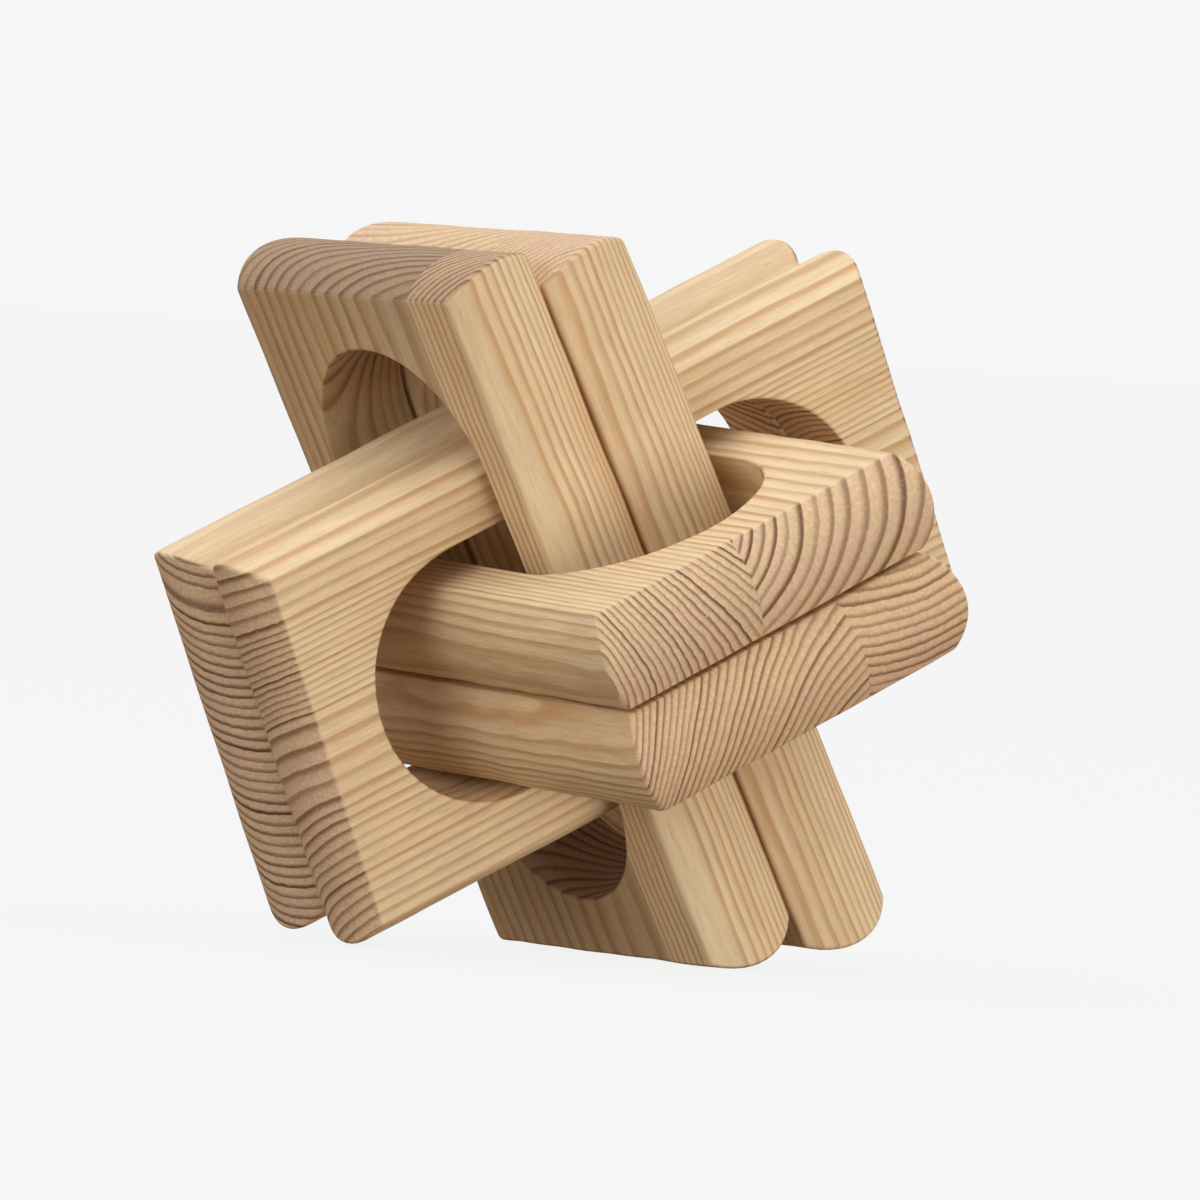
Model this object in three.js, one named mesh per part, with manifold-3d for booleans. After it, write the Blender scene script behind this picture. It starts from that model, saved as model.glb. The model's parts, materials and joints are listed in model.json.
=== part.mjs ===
// A six-board interlocking wooden puzzle, in millimetres, +Z up.
//
// Three pairs of flat boards cross at right angles round a hollow middle, and each pair passes
// through the windows of the next one:
//   the fork pair, long axis front to back (its closed ends point to the front, -Y), is held by
//   the cross pair, long axis left to right, which is held by
//   the upright pair, long axis bottom to top, which is held by the fork pair.
// The fork boards are open at the back, so they are the ones that pull out and free the rest.
// The windows are wider than the pairs in them, so each pair sits a little turned and shifted.
// The puzzle leans on the left ends of the cross boards and the bottom ends of the upright ones.
// The origin is the middle of the underside of its bounding box.

import * as THREE from "three";
import { mergeVertices } from "three/addons/utils/BufferGeometryUtils.js";
import Module from "manifold-3d";

const wasm = await Module();
wasm.setup();

// Every board is cut from the same stock.
const LENGTH = 80; // over the rounded ends
const WIDTH = 42.6; // over the rounded sides
const THICKNESS = 11;
const CROWN = 2; // how far the rounded outer edges stand out beyond the flat faces
const PAIR_GAP = 0.3; // between the two boards of a pair
const CUT_MARGIN = 1; // how far a cutter runs past the face it cuts
const CROWN_DIVISIONS = 8;
const WINDOW_DIVISIONS = 22;
const WELD_DISTANCE = 1e-4; // corners of a raw geometry closer than this are one corner

// How the finished puzzle leans on the surface it stands on, in degrees.
const LEAN = 27.84; // about the front-to-back axis, towards its left
const TIP = 1.96; // about the left-to-right axis, towards the front

const RIGHT = new THREE.Vector3(1, 0, 0);
const FRONT = new THREE.Vector3(0, -1, 0);
const UP = new THREE.Vector3(0, 0, 1);

// The pairs: long and normal are a board's long axis and the pair's stacking direction, turn is
// the pair's slack turn in degrees, and shift is its slack shift along long, wide and normal.
// The window is given by its length over the round ends and its width; an open one is a slot.
// Each board sits on one side of the pair's parting plane, and may have slid along its length.
const PAIRS = [
  {
    long: FRONT,
    normal: UP,
    turn: [0, 0, 0],
    shift: [0, 0, 0],
    window: { length: 63, width: 27.3, open: true },
    boards: [
      { name: "fork_upper", side: 1, slid: 0, colour: 0xdcb988 },
      { name: "fork_lower", side: -1, slid: 0, colour: 0xd6b07c },
    ],
  },
  {
    long: RIGHT,
    normal: FRONT,
    turn: [0.9, 0.7, -0.9],
    shift: [-0.3, 1.2, 0.1],
    window: { length: 61.4, width: 26.8, open: false },
    boards: [
      { name: "cross_front_board", side: 1, slid: 0, colour: 0xdfbb84 },
      { name: "cross_rear_board", side: -1, slid: 0, colour: 0xd9b785 },
    ],
  },
  {
    long: UP,
    normal: RIGHT,
    turn: [-1.3, -2.5, 1.6],
    shift: [0, -0.4, -0.6],
    window: { length: 63, width: 27.3, open: false },
    boards: [
      { name: "upright_left_board", side: -1, slid: 2.7, colour: 0xdbb681 },
      { name: "upright_right_board", side: 1, slid: -1.2, colour: 0xe0be8c },
    ],
  },
];

// A closed three.js geometry as a manifold-3d solid.
function toSolid(geometry) {
  const bare = geometry.clone();
  bare.deleteAttribute("normal");
  bare.deleteAttribute("uv");
  const merged = mergeVertices(bare, WELD_DISTANCE);
  const vertProperties = new Float32Array(merged.attributes.position.array);
  const triVerts = new Uint32Array(merged.index.array);
  return new wasm.Manifold(new wasm.Mesh({ numProp: 3, vertProperties, triVerts }));
}

function toGeometry(solid) {
  const mesh = solid.getMesh();
  const geometry = new THREE.BufferGeometry();
  geometry.setAttribute("position", new THREE.BufferAttribute(mesh.vertProperties, 3));
  geometry.setIndex(new THREE.BufferAttribute(mesh.triVerts, 1));
  return geometry;
}

// A shape drawn in u and v, drawn out along the axis at right angles to both, centred on it.
function prism(shape, depth, divisions, u, v) {
  const options = { depth, bevelEnabled: false, curveSegments: divisions };
  const geometry = new THREE.ExtrudeGeometry(shape, options);
  geometry.translate(0, 0, -depth / 2);
  const along = new THREE.Vector3().crossVectors(u, v);
  return geometry.applyMatrix4(new THREE.Matrix4().makeBasis(u, v, along));
}

// A board's section: flat faces at v = 0 and THICKNESS, and a round arc bulging out at each side.
function crownedSection(span) {
  const radius = (CROWN ** 2 + (THICKNESS / 2) ** 2) / (2 * CROWN);
  const halfAngle = Math.asin(THICKNESS / 2 / radius);
  const centre = span / 2 - radius;
  const shape = new THREE.Shape();
  shape.absarc(centre, THICKNESS / 2, radius, -halfAngle, halfAngle, false);
  shape.absarc(-centre, THICKNESS / 2, radius, Math.PI - halfAngle, Math.PI + halfAngle, false);
  shape.closePath();
  return shape;
}

// A window's outline. The open one runs out past the board's other end as a slot.
function windowOutline({ length, width, open }) {
  const radius = width / 2;
  const centre = length / 2 - radius;
  const shape = new THREE.Shape();
  shape.absarc(centre, 0, radius, -Math.PI / 2, Math.PI / 2, false);
  if (open) {
    shape.lineTo(-LENGTH / 2 - CUT_MARGIN, radius);
    shape.lineTo(-LENGTH / 2 - CUT_MARGIN, -radius);
  } else {
    shape.absarc(-centre, 0, radius, Math.PI / 2, 1.5 * Math.PI, false);
  }
  shape.closePath();
  return shape;
}

// One board: length along X, width along Y, its inner face at Z = 0. The crowned sides and the
// crowned ends are two crossed prisms, which meet in crisp mitres at the corners.
function boardGeometry(window) {
  const [x, y, z] = [new THREE.Vector3(1, 0, 0), new THREE.Vector3(0, 1, 0), UP];
  const crownedSides = toSolid(prism(crownedSection(WIDTH), LENGTH, CROWN_DIVISIONS, y, z));
  const crownedEnds = toSolid(prism(crownedSection(LENGTH), WIDTH, CROWN_DIVISIONS, x, z));
  const cutDepth = 2 * (THICKNESS + CUT_MARGIN);
  const cutter = toSolid(prism(windowOutline(window), cutDepth, WINDOW_DIVISIONS, x, y));
  return toGeometry(crownedSides.intersect(crownedEnds).subtract(cutter));
}

// A board's mesh, in its pair's frame.
function boardMesh(pair, board) {
  const normal = pair.normal.clone().multiplyScalar(board.side);
  const wide = new THREE.Vector3().crossVectors(normal, pair.long);
  const pairWide = new THREE.Vector3().crossVectors(pair.normal, pair.long);
  const material = new THREE.MeshStandardMaterial({
    color: board.colour,
    roughness: 0.75,
    metalness: 0,
  });
  const mesh = new THREE.Mesh(boardGeometry(pair.window), material);
  mesh.name = board.name;
  mesh.quaternion.setFromRotationMatrix(new THREE.Matrix4().makeBasis(pair.long, wide, normal));
  mesh.position.addScaledVector(pair.long, pair.shift[0] + board.slid);
  mesh.position.addScaledVector(pairWide, pair.shift[1]);
  mesh.position.addScaledVector(pair.normal, pair.shift[2] + (board.side * PAIR_GAP) / 2);
  return mesh;
}

function pairGroup(pair) {
  const group = new THREE.Group();
  group.rotation.set(...pair.turn.map(THREE.MathUtils.degToRad));
  group.add(...pair.boards.map((board) => boardMesh(pair, board)));
  return group;
}

const assembly = new THREE.Group();
assembly.add(...PAIRS.map(pairGroup));
assembly.rotation.set(THREE.MathUtils.degToRad(TIP), THREE.MathUtils.degToRad(-LEAN), 0);

// The lowest point stands at Z = 0, and the box round the puzzle is centred on the origin.
const puzzle = new THREE.Group();
puzzle.add(assembly);
const box = new THREE.Box3().setFromObject(puzzle, true);
assembly.position.set(-(box.min.x + box.max.x) / 2, -(box.min.y + box.max.y) / 2, -box.min.z);

export default puzzle;
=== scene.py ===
import json
import math

import bpy
import numpy as np
from mathutils import Matrix, Vector
from mathutils import noise


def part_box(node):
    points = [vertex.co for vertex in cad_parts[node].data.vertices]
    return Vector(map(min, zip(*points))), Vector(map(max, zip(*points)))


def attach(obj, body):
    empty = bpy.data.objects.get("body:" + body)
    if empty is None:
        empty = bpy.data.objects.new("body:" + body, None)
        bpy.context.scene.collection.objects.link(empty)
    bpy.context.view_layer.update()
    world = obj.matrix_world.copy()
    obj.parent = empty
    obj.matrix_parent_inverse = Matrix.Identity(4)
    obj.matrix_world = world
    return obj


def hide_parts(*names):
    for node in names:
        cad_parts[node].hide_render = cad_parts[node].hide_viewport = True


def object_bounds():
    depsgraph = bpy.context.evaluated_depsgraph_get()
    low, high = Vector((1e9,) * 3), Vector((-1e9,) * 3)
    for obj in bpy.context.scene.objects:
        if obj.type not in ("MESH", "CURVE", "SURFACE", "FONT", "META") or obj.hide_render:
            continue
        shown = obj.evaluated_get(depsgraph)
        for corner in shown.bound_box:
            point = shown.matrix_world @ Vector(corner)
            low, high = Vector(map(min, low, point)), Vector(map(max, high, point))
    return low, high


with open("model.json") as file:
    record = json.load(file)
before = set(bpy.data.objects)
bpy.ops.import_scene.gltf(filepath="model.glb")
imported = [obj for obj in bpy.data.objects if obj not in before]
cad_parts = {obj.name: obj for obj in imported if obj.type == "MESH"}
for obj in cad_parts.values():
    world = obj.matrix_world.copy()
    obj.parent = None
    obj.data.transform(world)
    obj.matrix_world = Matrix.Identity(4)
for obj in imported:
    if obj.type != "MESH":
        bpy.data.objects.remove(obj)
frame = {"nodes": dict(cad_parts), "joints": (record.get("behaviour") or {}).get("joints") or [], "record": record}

CAD_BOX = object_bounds()

MM = 0.001

# The boards as they are made in CAD, in millimetres.
WINDOW = (63, 27.3)  # length over the round ends, and width
CROSS_WINDOW = (61.4, 26.8)
CROWN = 2  # how far the rounded outer edges stand out beyond the flat faces

# Fine detail of the finished wood, in millimetres.
CREASE_EASE = 0.32  # where a flat face turns into a rounded side
WINDOW_EASE = 0.5  # sanded edge of a window
CORNER_RADIUS = 0.6  # mitred corner, seen along the thickness
HAND_WOBBLE = 0.22  # how far hand sanding strays from the true surface
WOBBLE_LENGTH = 6.0  # from one wave of it to the next
WOBBLE_SHIFTS = (3.1, 1.7, 5.3)  # from one board's waves to the next one's, in wave lengths

# Mesh density of a board: steps in each stretch of its outline, and across it. The fan is half the
# angle of window wall, in degrees, that lies opposite a rounded corner, and the crowding is how far
# the steps across a flat face are drawn towards its edges.
STRAIGHT_STEPS = 26
SIDE_STEPS = 18
CORNER_STEPS = 5
END_STEPS = 22
CREASE_STEPS = 4
CROWN_STEPS = 12
FACE_STEPS = 8
CORNER_FAN = 4
EDGE_CROWDING = 0.09

# The camera, in degrees, metres and millimetres of lens. It stands in front of the puzzle and to its left.
AZIMUTH = -33.98
ELEVATION = 1.16
ROLL = 4.07
CAMERA_DISTANCE = 1.635
CAMERA_LENS = 479.0
AIM = (3.7 * MM, 1.25 * MM)  # how far the view's middle lies right of and below the box's middle
VIEW_END = 20  # how far the camera sees

PALE = 0.922  # the backdrop's tone
FLOOR_REACH = 12  # from the middle to each side, in metres
FLOOR_BASE = 0.05  # the part of the floor's tone that shadows can darken
FLOOR_GLOW = PALE - 0.055  # the rest of it, so that lit floor and backdrop look the same

# The light from all round, from straight below to straight above, by the share of the height.
SKY = [
    (0.0, (0.10, 0.05, 0.03)),
    (0.38, (0.17, 0.11, 0.06)),
    (0.5, (0.44, 0.41, 0.38)),
    (0.75, (0.80, 0.80, 0.80)),
    (1.0, (1.0, 1.0, 1.0)),
]

# Each soft light: the direction that it stands in, its size in metres, power and colour.
LIGHT_DISTANCE = 1.2
LIGHTS = {
    "key": ((0.05, -0.95, -0.14), 0.6, 4.3, (1.0, 0.97, 0.93)),
    "fill": ((-0.95, -0.3, 0.12), 0.7, 3.0, (1.0, 0.98, 0.97)),
    "bounce": ((0.55, -0.7, -0.45), 0.5, 1.1, (1.0, 0.93, 0.84)),
    "top": ((-0.2, 0.15, 0.95), 0.8, 3.3, (1.0, 1.0, 1.0)),
}

# How close two directions must be to count as square to each other, or as the same one.
SQUARE = 0.01
SAME_WAY = 0.99

# Which CAD joint gives the direction of each board's length.
LONG_JOINTS = {
    "fork_upper": "fork_upper_slide",
    "fork_lower": "fork_lower_slide",
    "cross_front_board": "cross_front_slack",
    "cross_rear_board": "cross_front_slack",
    "upright_left_board": "upright_left_slack",
    "upright_right_board": "upright_right_slack",
}

# The other board of each board's pair.
PARTNERS = {
    "fork_upper": "fork_lower",
    "fork_lower": "fork_upper",
    "cross_front_board": "cross_rear_board",
    "cross_rear_board": "cross_front_board",
    "upright_left_board": "upright_right_board",
    "upright_right_board": "upright_left_board",
}

# The wood of each board. It is glued up from strips side by side, and a strip reaches up to its seam.
# All places are (across the width, out through the thickness), in millimetres. Growth rings either
# run round a pith, with a growth list of (distance from the pith, ring width from there on), or
# they are given by their number per millimetre going across and through, each with its change per
# millimetre, and a twist that turns them along both. The start shifts a strip's rings to meet its
# neighbour's, and shade darkens the strip: partly its own darker tone, and on
# upright_left_board partly painted shade, standing in for the shade on the board's outer face. The
# tint is how orange the board is, face_contrast and end_contrast are how dark its late wood is on
# the faces and on the ends, and end_shade darkens its ends.
WOOD = {
    "fork_upper": {
        "strips": [
            {
                "seam": -2.0,
                "across": (0.84, -0.015),
                "through": (0.586, 0.01),
                "twist": 0.018,
                "start": 40.7,
            },
            {
                "pith": (-10.0, 20.0),
                "growth": [(10, 0.9), (14.2, 1.2), (18, 1.7), (24, 2.1)],
                "start": 0.12,
            },
        ],
        "tint": 0.25,
    },
    "fork_lower": {
        "strips": [
            {"seam": -7.5, "pith": (-19.0, -24.0), "growth": [(20, 1.05)], "start": 0.28},
            {"pith": (-16.0, 27.0), "growth": [(12, 1.08), (29, 0.85), (37, 0.68)], "start": 0.97},
        ],
        "tint": 0.5,
    },
    "cross_front_board": {
        "strips": [
            {"pith": (-40.0, 20.0), "growth": [(15, 1.1), (36, 2.0), (45, 0.75), (55, 1.5)]},
        ],
        "tint": 0.3,
    },
    "cross_rear_board": {
        "strips": [
            {"pith": (-45.0, -6.0), "growth": [(20, 1.2), (29, 3.0), (32, 1.15)]},
        ],
        "tint": 0.1,
        "face_contrast": 0.45,
    },
    "upright_left_board": {
        "strips": [
            {"seam": -12.0, "pith": (-35.0, 25.0), "growth": [(10, 3.0), (21.8, 0.85)]},
            {
                "across": (0.065, 0.0125),
                "through": (-1.4, 0.1),
                "twist": 0.026,
                "start": 40.0,
                # this strip's darker tone, partly painted shade for the board's outer face, which lies in shade
                "shade": 0.72,
            },
        ],
        "tint": 0.55,
        "end_shade": 0.74,
    },
    "upright_right_board": {
        "strips": [
            {"seam": 6.0, "pith": (-20.0, 35.0), "growth": [(10, 1.4)]},
            {"pith": (32.0, -14.0), "growth": [(5, 0.85)]},
        ],
        "tint": 0.3,
        "end_contrast": 0.5,
    },
}


# ---------------------------------------------------------------- camera, floor and light

def make_camera():
    low, high = CAD_BOX
    middle = (low + high) / 2
    turn, rise = math.radians(AZIMUTH), math.radians(ELEVATION)
    back = Vector((
        math.sin(turn) * math.cos(rise),
        -math.cos(turn) * math.cos(rise),
        math.sin(rise),
    ))
    level = (-back).to_track_quat("-Z", "Y")
    rolled = level @ Matrix.Rotation(math.radians(ROLL), 3, "Z").to_quaternion()
    right, up = rolled @ Vector((1, 0, 0)), rolled @ Vector((0, 1, 0))
    data = bpy.data.cameras.new("camera")
    data.lens = CAMERA_LENS
    data.clip_end = VIEW_END
    camera = bpy.data.objects.new("camera", data)
    camera.rotation_mode = "QUATERNION"
    camera.rotation_quaternion = rolled
    camera.location = middle + back * CAMERA_DISTANCE + right * AIM[0] - up * AIM[1]
    bpy.context.scene.collection.objects.link(camera)
    bpy.context.scene.camera = camera


def make_world():
    """Soft light, strongest from above and dim and warm from below, and a pale backdrop."""
    world = bpy.data.worlds.new("studio")
    world.use_nodes = True
    nodes, links = world.node_tree.nodes, world.node_tree.links
    direction = nodes.new("ShaderNodeTexCoord")
    axes = nodes.new("ShaderNodeSeparateXYZ")
    links.new(direction.outputs["Generated"], axes.inputs[0])
    height = nodes.new("ShaderNodeMapRange")
    links.new(axes.outputs["Z"], height.inputs["Value"])
    height.inputs["From Min"].default_value = -1
    sky = nodes.new("ShaderNodeValToRGB")
    links.new(height.outputs["Result"], sky.inputs["Fac"])
    elements = sky.color_ramp.elements
    while len(elements) < len(SKY):
        elements.new(0.5)
    for element, (position, colour) in zip(elements, SKY):
        element.position = position
        element.color = (*colour, 1)
    path = nodes.new("ShaderNodeLightPath")
    tone = nodes.new("ShaderNodeMix")
    tone.data_type = "RGBA"
    links.new(path.outputs["Is Camera Ray"], tone.inputs["Factor"])
    links.new(sky.outputs["Color"], tone.inputs[6])
    tone.inputs[7].default_value = (PALE, PALE, PALE, 1)
    links.new(tone.outputs[2], nodes["Background"].inputs["Color"])
    bpy.context.scene.world = world


def make_floor():
    """A plain pale floor that glows like the backdrop, takes soft shadows, and hides no light."""
    reach = FLOOR_REACH
    corners = [(-reach, -reach, 0), (reach, -reach, 0), (reach, reach, 0), (-reach, reach, 0)]
    mesh = bpy.data.meshes.new("floor")
    mesh.from_pydata(corners, [], [(0, 1, 2, 3)])
    floor = bpy.data.objects.new("floor", mesh)
    bpy.context.scene.collection.objects.link(floor)
    material = bpy.data.materials.new("floor")
    material.use_nodes = True
    shader = material.node_tree.nodes["Principled BSDF"]
    shader.inputs["Base Color"].default_value = (FLOOR_BASE, FLOOR_BASE, FLOOR_BASE, 1)
    shader.inputs["Roughness"].default_value = 1
    shader.inputs["Specular IOR Level"].default_value = 0
    shader.inputs["Emission Color"].default_value = (1, 1, 1, 1)
    shader.inputs["Emission Strength"].default_value = FLOOR_GLOW
    mesh.materials.append(material)
    floor.visible_diffuse = False
    floor.visible_glossy = False
    floor.visible_shadow = False


def make_area_light(name, direction, size, power, colour):
    low, high = CAD_BOX
    data = bpy.data.lights.new(name, "AREA")
    data.size = size
    data.energy = power
    data.color = colour
    light = bpy.data.objects.new(name, data)
    towards = Vector(direction).normalized()
    light.location = (low + high) / 2 + towards * LIGHT_DISTANCE
    light.rotation_mode = "QUATERNION"
    light.rotation_quaternion = towards.to_track_quat("Z", "Y")
    bpy.context.scene.collection.objects.link(light)


# ---------------------------------------------------------------- the shape of a board

def box_middle(node):
    low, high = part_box(node)
    return (low + high) / 2


def board_frame(node):
    """A board's own frame, read off its CAD node: X along its length, Z out of its outer face, and
    the origin in the middle of its inner face. Its length, width and thickness come with it."""
    mesh = frame["nodes"][node].data
    joint = next(j for j in frame["joints"] if j["name"] == LONG_JOINTS[node])
    along = Vector(joint["axis"]).normalized()
    areas = {}
    for face in mesh.polygons:
        if abs(face.normal.dot(along)) < SQUARE:
            key = tuple(round(c, 2) for c in face.normal)
            areas[key] = areas.get(key, 0) + face.area
    widest = sorted(areas, key=areas.get)[-2:]
    away = box_middle(node) - box_middle(PARTNERS[node])
    rough = Vector(max(widest, key=lambda n: Vector(n).dot(away)))
    outer = [face for face in mesh.polygons if face.normal.dot(rough) > SAME_WAY]
    out = sum((face.normal * face.area for face in outer), Vector()).normalized()
    out = (out - along * out.dot(along)).normalized()
    wide = out.cross(along)
    points = np.array([v.co for v in mesh.vertices])
    reach = [points @ np.array(axis) for axis in (along, wide, out)]
    low, high = [r.min() for r in reach], [r.max() for r in reach]
    centre = along * (low[0] + high[0]) / 2 + wide * (low[1] + high[1]) / 2 + out * low[2]
    place = Matrix.Translation(centre) @ Matrix((along, wide, out)).transposed().to_4x4()
    size = [round((h - l) / MM, 3) for l, h in zip(low, high)]
    return place, size


def edge_profile(thickness):
    """How a rounded side stands back from its furthest reach, as (inset, height) from face to face."""
    radius = (CROWN ** 2 + (thickness / 2) ** 2) / (2 * CROWN)

    def inset(height):
        return radius - math.sqrt(radius ** 2 - (height - thickness / 2) ** 2)

    corner = (CROWN, thickness)
    start = (CROWN + CREASE_EASE, thickness)
    finish = (inset(thickness - CREASE_EASE), thickness - CREASE_EASE)
    crease = []
    for step in range(CREASE_STEPS + 1):
        t = step / CREASE_STEPS
        crease.append(tuple(
            (1 - t) ** 2 * a + 2 * t * (1 - t) * b + t ** 2 * c
            for a, b, c in zip(start, corner, finish)
        ))
    heights = np.linspace(thickness - CREASE_EASE, CREASE_EASE, CROWN_STEPS + 1)[1:-1]
    middle = [(inset(h), h) for h in heights]
    return crease + middle + [(i, thickness - h) for i, h in reversed(crease)]


def window_ease(height, thickness):
    """How far the sanded edge of a window opens it at a height."""
    depth = max(0, min(WINDOW_EASE, height, thickness - height))
    return WINDOW_EASE - math.sqrt(WINDOW_EASE ** 2 - (WINDOW_EASE - depth) ** 2)


def quarter_outlines(half_length, half_width, window, ease):
    """The outer outline from the middle of a side round a corner to the middle of an end, and the
    window's outline beside it, with the same number of points."""
    radius = window[1] / 2 + ease
    centre = (window[0] - window[1]) / 2
    corner = math.atan2(half_width, half_length - centre)
    turn = math.radians(CORNER_FAN)
    outer, inner = [], []
    for x in np.linspace(0, centre, STRAIGHT_STEPS + 1)[:-1]:
        outer.append((x, half_width))
        inner.append((x, radius))
    for t in np.linspace(0, 1, SIDE_STEPS + 1)[:-1]:
        outer.append((centre + t * (half_length - CORNER_RADIUS - centre), half_width))
        angle = math.pi / 2 + t * (corner + turn - math.pi / 2)
        inner.append((centre + radius * math.cos(angle), radius * math.sin(angle)))
    for t in np.linspace(0, 1, CORNER_STEPS + 1):
        angle = math.pi / 2 * (1 - t)
        outer.append((
            half_length - CORNER_RADIUS + CORNER_RADIUS * math.cos(angle),
            half_width - CORNER_RADIUS + CORNER_RADIUS * math.sin(angle),
        ))
        angle = corner + turn * (1 - 2 * t)
        inner.append((centre + radius * math.cos(angle), radius * math.sin(angle)))
    for t in np.linspace(0, 1, END_STEPS // 2 + 1)[1:]:
        outer.append((half_length, (half_width - CORNER_RADIUS) * (1 - t)))
        angle = (corner - turn) * (1 - t)
        inner.append((centre + radius * math.cos(angle), radius * math.sin(angle)))
    return np.array(outer), np.array(inner)


def leg_outlines(half_length, half_width, window, ease):
    """One leg of a fork, from its tip to the middle of its side: the outer outline and the slot's."""
    radius = window[1] / 2 + ease
    outer, inner = [], []
    for angle in np.linspace(0, math.pi / 2, CORNER_STEPS + 1)[:-1]:
        x = -half_length + CORNER_RADIUS * (1 - math.cos(angle))
        drop = CORNER_RADIUS * (1 - math.sin(angle))
        outer.append((x, half_width - drop))
        inner.append((x, radius + drop))
    for x in np.linspace(-half_length + CORNER_RADIUS, 0, STRAIGHT_STEPS + SIDE_STEPS + 1)[:-1]:
        outer.append((x, half_width))
        inner.append((x, radius))
    return np.array(outer), np.array(inner)


def outlines(half_length, half_width, window, ease, is_fork):
    """The whole outer outline and the window's beside it. A fork's are open at the rear."""
    mirror_y, mirror_x = np.array([1, -1]), np.array([-1, 1])
    quarter = quarter_outlines(half_length, half_width, window, ease)
    leg = leg_outlines(half_length, half_width, window, ease) if is_fork else None
    paths = []
    for side in range(2):
        path = quarter[side]
        front = np.concatenate([path, path[-2::-1] * mirror_y])
        if is_fork:
            paths.append(np.concatenate([leg[side], front, leg[side][::-1] * mirror_y]))
        else:
            paths.append(np.concatenate([front, front[1:-1][::-1] * mirror_x]))
    return paths


def face_stops(steps):
    """Stops across a flat face, closer together beside its edges."""
    t = np.linspace(0, 1, steps + 1)
    return t - EDGE_CROWDING * np.sin(2 * math.pi * t)


def board_grid(size, window, is_fork):
    """Points through the whole board, by level, step along the outline, and step across it."""
    length, width, thickness = size
    grid = []
    for inset, height in edge_profile(thickness):
        ease = window_ease(height, thickness)
        half_length, half_width = length / 2 - inset, width / 2 - inset
        outer, inner = outlines(half_length, half_width, window, ease, is_fork)
        across = [outer + (inner - outer) * t for t in face_stops(FACE_STEPS)]
        points = np.stack(across, 1)
        grid.append(np.concatenate([points, np.full(points.shape[:2] + (1,), height)], 2))
    return np.array(grid)


def board_mesh(node, size, is_fork):
    """The board as one skin of quads: rounded outer walls, eased window walls and two flat faces."""
    window = CROSS_WINDOW if node.startswith("cross") else WINDOW
    grid = board_grid(size, window, is_fork)
    levels, count, across = grid.shape[:3]

    # The section: up or down the outer wall, over a face, along the window's wall, and back.
    section = [(level, 0) for level in range(levels)]
    section += [(levels - 1, a) for a in range(1, across)]
    section += [(level, across - 1) for level in range(levels - 2, -1, -1)]
    section += [(0, a) for a in range(across - 2, 0, -1)]
    loop = len(section)
    verts = [tuple(grid[level, step, a]) for step in range(count) for level, a in section]
    faces = []
    for step in range(count - 1 if is_fork else count):
        here, there = step * loop, (step + 1) % count * loop
        for k in range(loop):
            after = (k + 1) % loop
            faces.append((here + k, there + k, there + after, here + after))
    if is_fork:
        where = {place: k for k, place in enumerate(section)}
        for step, flip in ((0, False), (count - 1, True)):
            close_leg(grid, step, flip, where, verts, faces)

    mesh = bpy.data.meshes.new(node + "_wood")
    mesh.from_pydata([tuple(c * MM for c in v) for v in verts], [], faces)
    mesh.validate()
    return mesh


def close_leg(grid, step, flip, where, verts, faces):
    """The tip of a fork's leg, which closes the skin at one end of its outline."""
    levels, across = grid.shape[0], grid.shape[2]
    index = {}
    for level in range(levels):
        for a in range(across):
            if (level, a) in where:
                index[level, a] = step * len(where) + where[level, a]
            else:
                index[level, a] = len(verts)
                verts.append(tuple(grid[level, step, a]))
    for level in range(levels - 1):
        for a in range(across - 1):
            corners = ((level, a), (level + 1, a), (level + 1, a + 1), (level, a + 1))
            face = tuple(index[corner] for corner in corners)
            faces.append(face[::-1] if flip else face)


def finish_mesh(mesh, place, seed):
    """Hand sanding: shallow waves cut into the true surface. Each point keeps its place in the
    board's own frame, in millimetres, and how much end grain it shows, and then goes to its place."""
    mesh.update()
    points = np.array([v.co for v in mesh.vertices])
    normals = np.array([v.normal for v in mesh.vertices])
    shift = Vector([seed * step for step in WOBBLE_SHIFTS])
    depth = np.array([
        0.5 + 0.5 * noise.noise(Vector(p) / (WOBBLE_LENGTH * MM) + shift) for p in points
    ])
    points = points - normals * (depth * HAND_WOBBLE * MM)[:, None]
    mesh.vertices.foreach_set("co", points.astype(np.float32).ravel())
    own = mesh.attributes.new("board_place", "FLOAT_VECTOR", "POINT")
    own.data.foreach_set("vector", (points / MM).astype(np.float32).ravel())
    mark = mesh.attributes.new("end_grain", "FLOAT", "POINT")
    mark.data.foreach_set("value", np.abs(normals[:, 0]).astype(np.float32))
    mesh.polygons.foreach_set("use_smooth", [True] * len(mesh.polygons))
    mesh.transform(place)
    mesh.update()


def make_board(node, seed):
    place, size = board_frame(node)
    is_fork = node.startswith("fork")
    mesh = board_mesh(node, size, is_fork)
    finish_mesh(mesh, place, seed)
    board = bpy.data.objects.new(node + "_wood", mesh)
    bpy.context.scene.collection.objects.link(board)
    weighted = board.modifiers.new("flat faces", "WEIGHTED_NORMAL")
    weighted.keep_sharp = True
    mesh.materials.append(wood_material(node, seed))
    bodies = frame["record"]["behaviour"]["bodies"]
    body = next(name for name, members in bodies.items() if node in members)
    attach(board, body)
    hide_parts(node)


# ---------------------------------------------------------------- wood

def srgb(red, green, blue):
    """A colour given as it looks on a screen, 0 to 255, as the shader's linear values."""
    def linear(value):
        value /= 255
        return value / 12.92 if value <= 0.04045 else ((value + 0.055) / 1.055) ** 2.4
    return (linear(red), linear(green), linear(blue), 1)


# Early wood is a ring's pale first part, and late wood its dark end.
EARLY_FACE = srgb(238, 214, 174)
LATE_FACE = srgb(196, 143, 86)
EARLY_END = srgb(233, 204, 165)
LATE_END = srgb(98, 60, 38)
ROSY_END = srgb(232, 198, 169)
WARM = srgb(222, 164, 102)
CANAL = srgb(140, 85, 48)


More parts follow.
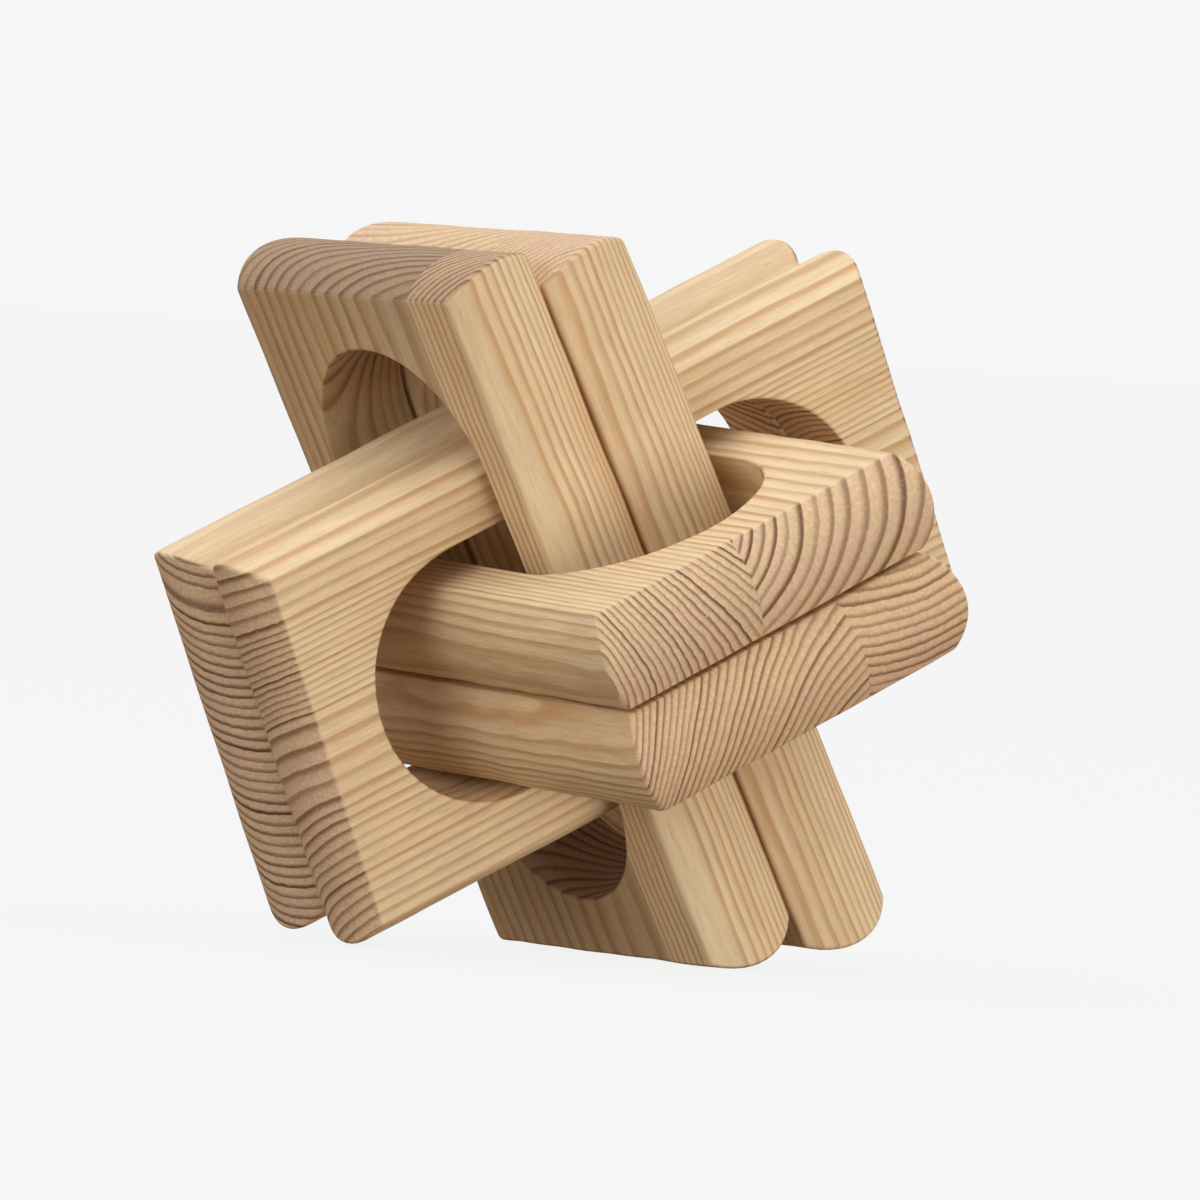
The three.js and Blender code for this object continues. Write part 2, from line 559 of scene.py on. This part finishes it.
class Nodes:
    """Short ways to add the nodes that the wood needs."""

    def __init__(self, tree):
        self.tree = tree

    def put(self, value, socket):
        if isinstance(value, bpy.types.NodeSocket):
            self.tree.links.new(value, socket)
        else:
            socket.default_value = value

    def math(self, operation, *values):
        node = self.tree.nodes.new("ShaderNodeMath")
        node.operation = operation
        for value, socket in zip(values, node.inputs):
            self.put(value, socket)
        return node.outputs[0]

    def add(self, a, b):
        return self.math("ADD", a, b)

    def times(self, a, b):
        return self.math("MULTIPLY", a, b)

    def scaled(self, vector, factors):
        node = self.tree.nodes.new("ShaderNodeVectorMath")
        node.operation = "MULTIPLY"
        self.put(vector, node.inputs[0])
        node.inputs[1].default_value = factors
        return node.outputs[0]

    def noise(self, vector, detail, roughness=0.5):
        node = self.tree.nodes.new("ShaderNodeTexNoise")
        self.put(vector, node.inputs["Vector"])
        node.inputs["Scale"].default_value = 1
        node.inputs["Detail"].default_value = detail
        node.inputs["Roughness"].default_value = roughness
        return node.outputs["Fac"]

    def ramp(self, value, stops):
        node = self.tree.nodes.new("ShaderNodeValToRGB")
        self.put(value, node.inputs["Fac"])
        elements = node.color_ramp.elements
        while len(elements) < len(stops):
            elements.new(0.5)
        for element, (position, level) in zip(elements, stops):
            element.position = position
            element.color = (level, level, level, 1)
        return node.outputs["Color"]

    def smooth(self, value, low, high):
        node = self.tree.nodes.new("ShaderNodeMapRange")
        node.interpolation_type = "SMOOTHSTEP"
        self.put(value, node.inputs["Value"])
        node.inputs["From Min"].default_value = low
        node.inputs["From Max"].default_value = high
        return node.outputs["Result"]

    def mix(self, factor, a, b):
        node = self.tree.nodes.new("ShaderNodeMix")
        node.data_type = "RGBA"
        self.put(factor, node.inputs["Factor"])
        self.put(a, node.inputs[6])
        self.put(b, node.inputs[7])
        return node.outputs[2]

    def choose(self, factor, a, b):
        node = self.tree.nodes.new("ShaderNodeMix")
        self.put(factor, node.inputs["Factor"])
        self.put(a, node.inputs[2])
        self.put(b, node.inputs[3])
        return node.outputs[0]


# How dark the wood is from the start of one year's ring to its end.
LATEWOOD = [
    (0.0, 0.12),
    (0.06, 0.0),
    (0.36, 0.05),
    (0.56, 0.32),
    (0.72, 0.85),
    (0.82, 1.0),
    (0.93, 0.95),
    (1.0, 0.12),
]

RING_REACH = 80.0  # the furthest a ring lies from its pith, in millimetres
RING_COUNT = 120.0  # more than any strip has, since a curve node only goes from 0 to 1

# Waves per millimetre along, across and through the board, for each noise in the wood.
SLOW_WAVES = (0.015, 0.07, 0.07)
OTHER_SLOW_WAVES = (-0.015, 0.07, -0.07)
QUICK_WAVES = (0.07, 0.8, 0.8)
FIBRE_WAVES = (0.16, 1.9, 1.9)
SPECKLE_WAVES = (0.9, 2.4, 2.4)
PATCH_WAVES = (0.02, 0.13, 0.13)
ROSY_WAVES = (0.02, 0.16, 0.16)
CANAL_WAVES = (0.35, 6.0, 6.0)
SPECK_WAVES = (0.8, 3.1, 3.1)

# From where to where in a noise's range each of them fades in.
STREAK_RANGE = (0.2, 0.8)
PATCH_RANGE = (0.35, 0.75)
ROSY_RANGE = (0.35, 0.7)
CANAL_RANGE = (0.71, 0.76)
SPECK_RANGE = (0.70, 0.76)

SLOW_WANDER = 1.5  # how far the rings wander from their true places, in millimetres
QUICK_WANDER = 0.28
NOISE_SPACING = 137.0  # keeps one board's noise away from the next one's
LATE_STRENGTH = (0.6, 0.45)  # the least that a ring shows, and how much more it may
END_RANGE = (0.25, 0.72)  # from where to where a face turns into end grain
FACE_CONTRAST = 0.8  # for boards that have none of their own
END_CONTRAST = 1.0
FACE_WARMTH = 0.6  # how strongly the tint shows
END_WARMTH = 0.5
END_SHARPNESS = 1.35  # narrows the late wood on the ends
CANAL_STRENGTH = 0.35
SPECK_STRENGTH = 0.5
FACE_DEPTH = 0.24  # how strongly fibres and speckle change the tone
END_DEPTH = 0.34

ROUGHNESS = 0.62
LATE_POLISH = -0.14  # late wood is a little smoother
STREAK_ROUGHNESS = 0.1
SPECULAR = 0.35
RELIEF = 0.0001  # height of the grain in metres, for a factor of one
FACE_RELIEF = 0.45
END_RELIEF = 1.0
STREAK_RELIEF = 0.5


def ring_number(n, y, z, strip):
    """The number of the growth ring that a point lies in, with its fraction."""
    if "pith" in strip:
        return round_pith(n, y, z, strip)
    (across, across_change), (through, through_change) = strip["across"], strip["through"]
    by_y = n.times(y, n.add(across, n.times(y, across_change / 2)))
    by_z = n.times(z, n.add(through, n.times(z, through_change / 2)))
    twist = n.times(n.times(y, z), strip["twist"])
    return n.add(n.add(by_y, by_z), n.add(twist, strip["start"]))


def round_pith(n, y, z, strip):
    """How many rings lie between the pith and a point, from the growth list."""
    dy = n.add(y, -strip["pith"][0])
    dz = n.add(z, -strip["pith"][1])
    distance = n.math("SQRT", n.add(n.times(dy, dy), n.times(dz, dz)))
    node = n.tree.nodes.new("ShaderNodeFloatCurve")
    n.put(n.times(distance, 1 / RING_REACH), node.inputs["Value"])
    curve = node.mapping.curves[0]
    stops = [(0.0, strip["growth"][0][1])] + strip["growth"]
    count, points = 0.0, [(0.0, 0.0)]
    for (start, width), (end, _) in zip(stops, stops[1:] + [(RING_REACH, None)]):
        count += (end - start) / width
        points.append((end / RING_REACH, count / RING_COUNT))
    curve.points[0].location = points[0]
    curve.points[1].location = points[-1]
    for point in points[1:-1]:
        curve.points.new(*point)
    for point in curve.points:
        point.handle_type = "VECTOR"
    node.mapping.update()
    return n.add(n.times(node.outputs[0], RING_COUNT), strip.get("start", 0.0))


def wandering_rings(n, point, strips):
    """The ring number at a point and how dark its strip is: its own tone, and partly painted shade."""
    axes = n.tree.nodes.new("ShaderNodeSeparateXYZ")
    n.put(point, axes.inputs[0])
    _, y, z = axes.outputs
    slow_y = n.add(n.noise(n.scaled(point, SLOW_WAVES), 2), -0.5)
    slow_z = n.add(n.noise(n.scaled(point, OTHER_SLOW_WAVES), 2), -0.5)
    quick = n.times(n.add(n.noise(n.scaled(point, QUICK_WAVES), 3), -0.5), QUICK_WANDER)
    ring_y = n.add(n.add(y, n.times(slow_y, SLOW_WANDER)), quick)
    ring_z = n.add(n.add(z, n.times(slow_z, SLOW_WANDER)), quick)
    rings = ring_number(n, ring_y, ring_z, strips[0])
    shade = strips[0].get("shade", 1.0)
    for before, strip in zip(strips, strips[1:]):
        past = n.math("GREATER_THAN", y, before["seam"])
        rings = n.choose(past, rings, ring_number(n, ring_y, ring_z, strip))
        shade = n.choose(past, shade, strip.get("shade", 1.0))
    return rings, shade


def late_wood(n, rings):
    """How much late wood shows at a ring number. No two rings are equally strong."""
    white = n.tree.nodes.new("ShaderNodeTexWhiteNoise")
    white.noise_dimensions = "1D"
    n.put(n.math("FLOOR", rings), white.inputs["W"])
    least, more = LATE_STRENGTH
    strength = n.add(n.times(white.outputs["Value"], more), least)
    return n.times(n.ramp(n.math("FRACT", rings), LATEWOOD), strength)


def wood_colour(n, point, late, end, wood):
    """The colour of the wood before its fibres and speckle."""
    patches = n.smooth(n.noise(n.scaled(point, PATCH_WAVES), 2), *PATCH_RANGE)
    warmth = n.times(n.times(patches, wood["tint"]), FACE_WARMTH)
    contrast = wood.get("face_contrast", FACE_CONTRAST)
    face = n.mix(warmth, n.mix(n.times(late, contrast), EARLY_FACE, LATE_FACE), WARM)

    rosy = n.smooth(n.noise(n.scaled(point, ROSY_WAVES), 2), *ROSY_RANGE)
    sharp = n.times(n.math("POWER", late, END_SHARPNESS), wood.get("end_contrast", END_CONTRAST))
    tip = n.mix(sharp, n.mix(rosy, EARLY_END, ROSY_END), LATE_END)
    tip = n.mix(wood["tint"] * END_WARMTH, tip, WARM)
    colour = n.mix(end, face, tip)

    # Resin canals: short dark dashes on the faces, pale specks on the ends.
    canals = n.smooth(n.noise(n.scaled(point, CANAL_WAVES), 1), *CANAL_RANGE)
    specks = n.smooth(n.noise(n.scaled(point, SPECK_WAVES), 1), *SPECK_RANGE)
    on_face = n.add(1.0, n.times(end, -1.0))
    colour = n.mix(n.times(n.times(canals, CANAL_STRENGTH), on_face), colour, CANAL)
    return n.mix(n.times(n.times(specks, SPECK_STRENGTH), end), colour, EARLY_END)


def wood_material(node_name, seed):
    wood = WOOD[node_name]
    material = bpy.data.materials.new(node_name + "_wood")
    material.use_nodes = True
    tree = material.node_tree
    shader = tree.nodes["Principled BSDF"]
    n = Nodes(tree)

    place = tree.nodes.new("ShaderNodeAttribute")
    place.attribute_name = "board_place"
    shift = tree.nodes.new("ShaderNodeVectorMath")
    n.put(place.outputs["Vector"], shift.inputs[0])
    shift.inputs[1].default_value = (seed * NOISE_SPACING, 0, 0)
    point = shift.outputs[0]
    grain = tree.nodes.new("ShaderNodeAttribute")
    grain.attribute_name = "end_grain"
    end = n.smooth(grain.outputs["Fac"], *END_RANGE)

    rings, shade = wandering_rings(n, point, wood["strips"])
    late = late_wood(n, rings)

    # Long fibres on the faces, fine speckle on the ends.
    fibre = n.smooth(n.noise(n.scaled(point, FIBRE_WAVES), 5, 0.7), *STREAK_RANGE)
    speckle = n.smooth(n.noise(n.scaled(point, SPECKLE_WAVES), 3, 0.8), *STREAK_RANGE)
    streak = n.choose(end, fibre, speckle)
    depth = n.choose(end, FACE_DEPTH, END_DEPTH)
    # The strip's factor darkens its colour: partly the strip's own tone, partly painted shade.
    tone = n.times(n.add(1.0, n.times(n.add(streak, -0.5), depth)), shade)
    tone = n.times(tone, n.choose(end, 1.0, wood.get("end_shade", 1.0)))
    toned = tree.nodes.new("ShaderNodeVectorMath")
    toned.operation = "SCALE"
    n.put(wood_colour(n, point, late, end, wood), toned.inputs[0])
    n.put(tone, toned.inputs["Scale"])
    n.put(toned.outputs[0], shader.inputs["Base Color"])

    rough = n.add(n.add(ROUGHNESS, n.times(late, LATE_POLISH)), n.times(streak, STREAK_ROUGHNESS))
    n.put(rough, shader.inputs["Roughness"])
    shader.inputs["Specular IOR Level"].default_value = SPECULAR

    # Late wood stands proud of the softer early wood, most of all on the ends.
    bump = tree.nodes.new("ShaderNodeBump")
    bump.inputs["Strength"].default_value = 1
    bump.inputs["Distance"].default_value = RELIEF
    height = n.add(FACE_RELIEF, n.times(end, END_RELIEF - FACE_RELIEF))
    relief = n.add(n.times(late, height), n.times(streak, STREAK_RELIEF))
    n.put(relief, bump.inputs["Height"])
    n.put(bump.outputs["Normal"], shader.inputs["Normal"])
    return material


make_camera()
bpy.context.scene.view_settings.view_transform = "Standard"
make_world()
make_floor()
for name, settings in LIGHTS.items():
    make_area_light(name, *settings)
for seed, node in enumerate(sorted(frame["nodes"])):
    make_board(node, seed)
